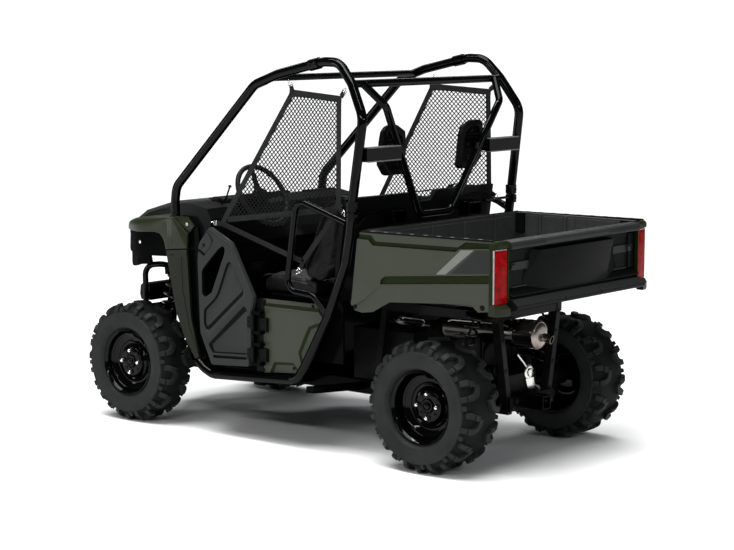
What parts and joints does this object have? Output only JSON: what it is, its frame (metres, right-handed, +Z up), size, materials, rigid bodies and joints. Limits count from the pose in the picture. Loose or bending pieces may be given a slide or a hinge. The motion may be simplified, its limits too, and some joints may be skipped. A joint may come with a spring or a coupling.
{
  "type": "side by side utility vehicle",
  "caption": "Open two-seat side by side utility vehicle with roll cage, side nets, half doors and a tilting cargo bed with a drop tailgate.",
  "frame": {"origin": "centre of the footprint box on the ground under the tyres", "axes": "+X to the front, +Y to the driver's (left) side, +Z up"},
  "size_m": [2.62, 1.27, 1.8237],
  "materials": {
    "body_green": "satin olive green moulded plastic",
    "black_plastic": "black textured plastic",
    "door_plastic": "dark grey moulded plastic",
    "frame_black": "black powder coat",
    "rim_black": "gloss black painted steel",
    "tyre": "black rubber with block tread",
    "seat_vinyl": "black grained vinyl",
    "net_mesh": "black polyester mesh with webbing",
    "belt_webbing": "black webbing",
    "steel": "brushed stainless steel",
    "cast_aluminium": "cast aluminium",
    "engine_metal": "dark painted castings",
    "lamp_red": "red lamp lens",
    "lamp_clear": "clear lamp lens",
    "rubber": "black rubber"
  },
  "bodies": {
    "chassis": {"rear_knuckles": "frame_black", "front_arms": "frame_black", "rear_arms": "frame_black", "lower_frame": "frame_black", "frame_outriggers": "frame_black", "front_frame": "frame_black", "rear_frame": "frame_black", "hitch_receiver": "frame_black", "cage_front": "frame_black", "cage_rear_left": "frame_black", "cage_rear_right": "frame_black", "cage_rear_brace": "frame_black", "cage_lower_left": "frame_black", "cage_lower_right": "frame_black", "front_guard": "frame_black", "door_hinges": "frame_black", "shocks": "frame_black", "steering_column": "frame_black", "steering_rack": "frame_black", "front_driveline": "cast_aluminium", "rear_driveline": "cast_aluminium", "engine_block": "engine_metal", "exhaust": "steel", "floor_pan": "black_plastic", "seat_box": "black_plastic", "rear_shell": "black_plastic", "kick_panels": "black_plastic", "front_fascia": "black_plastic", "dashboard": "black_plastic", "seat_cushions": "seat_vinyl", "seat_backs": "seat_vinyl", "headrests": "seat_vinyl", "seat_belts": "belt_webbing", "side_nets": "net_mesh", "seat_side_panels": "body_green", "front_fenders": "body_green", "hood": "body_green", "headlights": "lamp_clear"},
    "wheel_front_left": {"front_tyre_left": "tyre", "front_rim_left": "rim_black"},
    "wheel_front_right": {"front_tyre_right": "tyre", "front_rim_right": "rim_black"},
    "wheel_rear_left": {"rear_tyre_left": "tyre", "rear_rim_left": "rim_black"},
    "wheel_rear_right": {"rear_tyre_right": "tyre", "rear_rim_right": "rim_black"},
    "knuckle_left": {"front_knuckle_left": "frame_black"},
    "knuckle_right": {"front_knuckle_right": "frame_black"},
    "steering_wheel": {"steering_wheel": "rubber"},
    "tie_rods": {"tie_rods": "frame_black"},
    "door_left": {"door_left": "door_plastic"},
    "door_right": {"door_right": "door_plastic"},
    "cargo_bed": {"cargo_bed": "black_plastic", "bed_sides": "body_green", "bed_rear_step": "black_plastic", "tail_lamps": "lamp_red"},
    "tailgate": {"tailgate": "black_plastic"}
  },
  "joints": [
    {"name": "steering_wheel_turn", "type": "hinge", "parent": "chassis", "child": "steering_wheel", "pos_m": [0.36, 0.3, 1.147], "axis": [-0.866, 0, 0.5], "range_deg": [-270, 270]},
    {"name": "steer_left", "type": "hinge", "parent": "chassis", "child": "knuckle_left", "pos_m": [0.9975, 0.47, 0.297], "axis": [0, 0, 1], "range_deg": [-28.5, 28.5]},
    {"name": "front_wheel_left", "type": "hinge", "parent": "knuckle_left", "child": "wheel_front_left", "pos_m": [0.9975, 0.527, 0.297], "axis": [0, 1, 0], "continuous": true},
    {"name": "rear_wheel_left", "type": "hinge", "parent": "chassis", "child": "wheel_rear_left", "pos_m": [-0.8575, 0.508, 0.297], "axis": [0, 1, 0], "continuous": true},
    {"name": "steer_right", "type": "hinge", "parent": "chassis", "child": "knuckle_right", "pos_m": [0.9975, -0.47, 0.297], "axis": [0, 0, 1], "range_deg": [-28.5, 28.5]},
    {"name": "front_wheel_right", "type": "hinge", "parent": "knuckle_right", "child": "wheel_front_right", "pos_m": [0.9975, -0.527, 0.297], "axis": [0, 1, 0], "continuous": true},
    {"name": "rear_wheel_right", "type": "hinge", "parent": "chassis", "child": "wheel_rear_right", "pos_m": [-0.8575, -0.508, 0.297], "axis": [0, 1, 0], "continuous": true},
    {"name": "rack_slide", "type": "slide", "parent": "chassis", "child": "tie_rods", "axis": [0, 1, 0], "range_m": [-0.048, 0.048]},
    {"name": "door_left_hinge", "type": "hinge", "parent": "chassis", "child": "door_left", "pos_m": [0.128, 0.626, 0.5], "axis": [0, 0, 1], "range_deg": [0, 75]},
    {"name": "door_right_hinge", "type": "hinge", "parent": "chassis", "child": "door_right", "pos_m": [0.128, -0.626, 0.5], "axis": [0, 0, 1], "range_deg": [-75, 0]},
    {"name": "bed_tilt", "type": "hinge", "parent": "chassis", "child": "cargo_bed", "pos_m": [-0.99, 0, 0.705], "axis": [0, -1, 0], "range_deg": [0, 38]},
    {"name": "tailgate_hinge", "type": "hinge", "parent": "cargo_bed", "child": "tailgate", "pos_m": [-1.27, 0, 0.818], "axis": [0, -1, 0], "range_deg": [0, 88]}
  ],
  "couplings": [
    {"joint": "steer_left", "follows": "steering_wheel_turn", "ratio": 0.1037},
    {"joint": "steer_right", "follows": "steering_wheel_turn", "ratio": 0.1037},
    {"joint": "rack_slide", "follows": "steering_wheel_turn", "m_per_rad": -0.009564}
  ]
}
